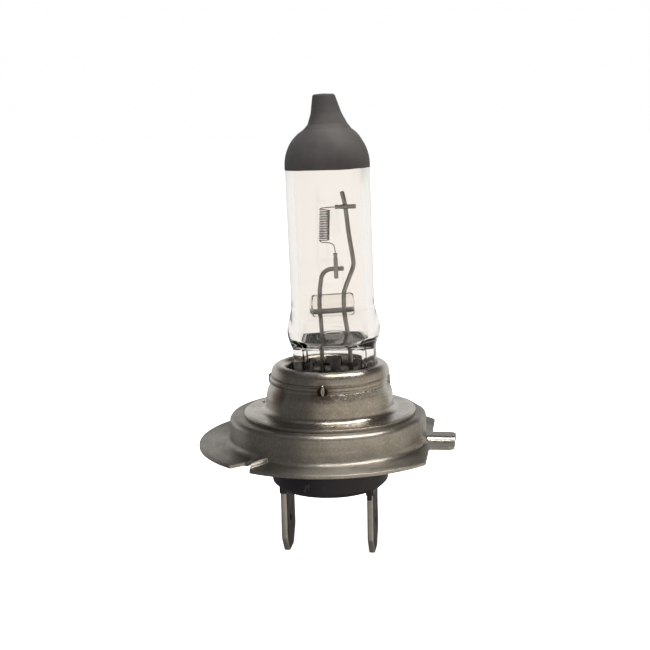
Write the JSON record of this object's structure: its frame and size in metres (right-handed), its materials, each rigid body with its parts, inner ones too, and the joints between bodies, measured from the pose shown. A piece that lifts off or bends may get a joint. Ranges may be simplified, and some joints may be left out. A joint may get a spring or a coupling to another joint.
{
  "type": "halogen headlight bulb",
  "caption": "Single-filament halogen headlight bulb: capped quartz burner in a welded steel collar on a ribbed locating flange, with two flat contact blades below.",
  "frame": {"origin": "centre of the reference plane, the plane of the crests of the flange's three ribs, on the drum's axis", "axes": "+Z along the bulb towards the glass tip, +X towards the ribbed locating tab and square to the contact blades"},
  "size_m": [0.0339, 0.0342, 0.0605],
  "materials": {
    "ring_steel": "satin nickel-plated stamping",
    "collar_steel": "satin stainless, tinted brown by the welds",
    "cup_steel": "semi-bright stainless",
    "clip_steel": "dull spring steel",
    "insulator_plastic": "black glass-filled moulding",
    "blade_steel": "dull tin-plated strip",
    "quartz": "clear fused quartz",
    "bridge_quartz": "clear fused quartz rod",
    "anti_glare_coat": "matte baked grey-black coat",
    "lead_metal": "drawn molybdenum wire",
    "foil_metal": "thin molybdenum foil",
    "tungsten": "drawn tungsten wire",
    "weld_metal": "heat-darkened weld nugget"
  },
  "bodies": {
    "root": {"reference_ring": "ring_steel", "collar_sleeve": "collar_steel", "holder_cup": "cup_steel", "pinch_clip_front": "clip_steel", "pinch_clip_rear": "clip_steel", "insulator_body": "insulator_plastic", "contact_blade_left": "blade_steel", "contact_blade_right": "blade_steel", "outer_lead_left": "lead_metal", "outer_lead_right": "lead_metal", "foil_left": "foil_metal", "foil_right": "foil_metal", "glass_envelope": "quartz", "anti_glare_cap": "anti_glare_coat", "lead_wire_long": "lead_metal", "lead_wire_short": "lead_metal", "quartz_bridge": "bridge_quartz", "filament_clamp_upper": "lead_metal", "filament_clamp_lower": "lead_metal", "filament": "tungsten", "collar_weld_front": "weld_metal", "collar_weld_right": "weld_metal", "collar_weld_rear": "weld_metal", "collar_weld_left": "weld_metal", "plate_weld_1": "weld_metal", "plate_weld_2": "weld_metal", "plate_weld_3": "weld_metal"}
  },
  "joints": []
}
